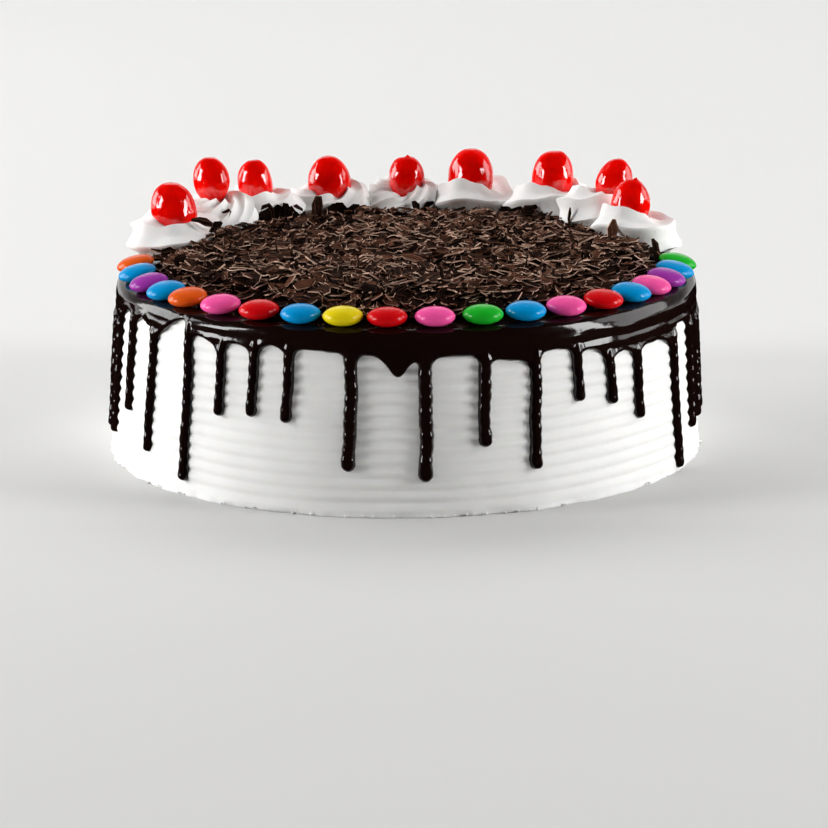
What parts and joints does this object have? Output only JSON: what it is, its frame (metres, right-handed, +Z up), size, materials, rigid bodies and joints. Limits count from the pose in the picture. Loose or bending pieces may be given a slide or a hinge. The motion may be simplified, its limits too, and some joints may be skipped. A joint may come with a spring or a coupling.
{
  "type": "black forest cake",
  "caption": "Round cake in combed whipped cream with a chocolate drip glaze, a heap of chocolate flakes, sugar-coated buttons in front and cherry-topped cream rosettes behind.",
  "frame": {"origin": "centre of the flat underside of the cake", "axes": "+Z up, -Y is the front, where the coated buttons are; the rosettes and cherries stand round the back; +X is the right-hand side seen from the front"},
  "size_m": [0.2034, 0.2032, 0.0911],
  "materials": {
    "cream": "white whipped cream, satin and finely porous, combed into rings on the side and piped into rosettes",
    "glaze": "dark chocolate glaze, almost black, poured and set glossy",
    "flakes": "dark chocolate flakes, matte to waxy, with lighter red-brown curls",
    "cherry": "glazed cherry, translucent bright red with a wet gloss",
    "button_orange": "orange sugar shell, polished",
    "button_blue": "blue sugar shell, polished",
    "button_purple": "purple sugar shell, polished",
    "button_pink": "pink sugar shell, polished",
    "button_red": "red sugar shell, polished",
    "button_yellow": "yellow sugar shell, polished",
    "button_green": "green sugar shell, polished"
  },
  "bodies": {
    "root": {"button_10_red": "button_red", "button_11_pink": "button_pink", "button_12_green": "button_green", "button_13_blue": "button_blue", "button_14_pink": "button_pink", "button_15_red": "button_red", "button_16_blue": "button_blue", "button_17_pink": "button_pink", "button_18_purple": "button_purple", "button_19_blue": "button_blue", "button_1_orange": "button_orange", "button_20_green": "button_green", "button_2_blue": "button_blue", "button_3_purple": "button_purple", "button_4_blue": "button_blue", "button_5_orange": "button_orange", "button_6_pink": "button_pink", "button_7_red": "button_red", "button_8_blue": "button_blue", "button_9_yellow": "button_yellow", "cake_body": "cream", "cherry_1": "cherry", "cherry_2": "cherry", "cherry_3": "cherry", "cherry_4": "cherry", "cherry_5": "cherry", "cherry_6": "cherry", "cherry_7": "cherry", "cherry_8": "cherry", "cherry_9": "cherry", "flake_heap": "flakes", "glaze": "glaze", "rosette_1": "cream", "rosette_2": "cream", "rosette_3": "cream", "rosette_4": "cream", "rosette_5": "cream", "rosette_6": "cream", "rosette_7": "cream", "rosette_8": "cream", "rosette_9": "cream"}
  },
  "joints": []
}
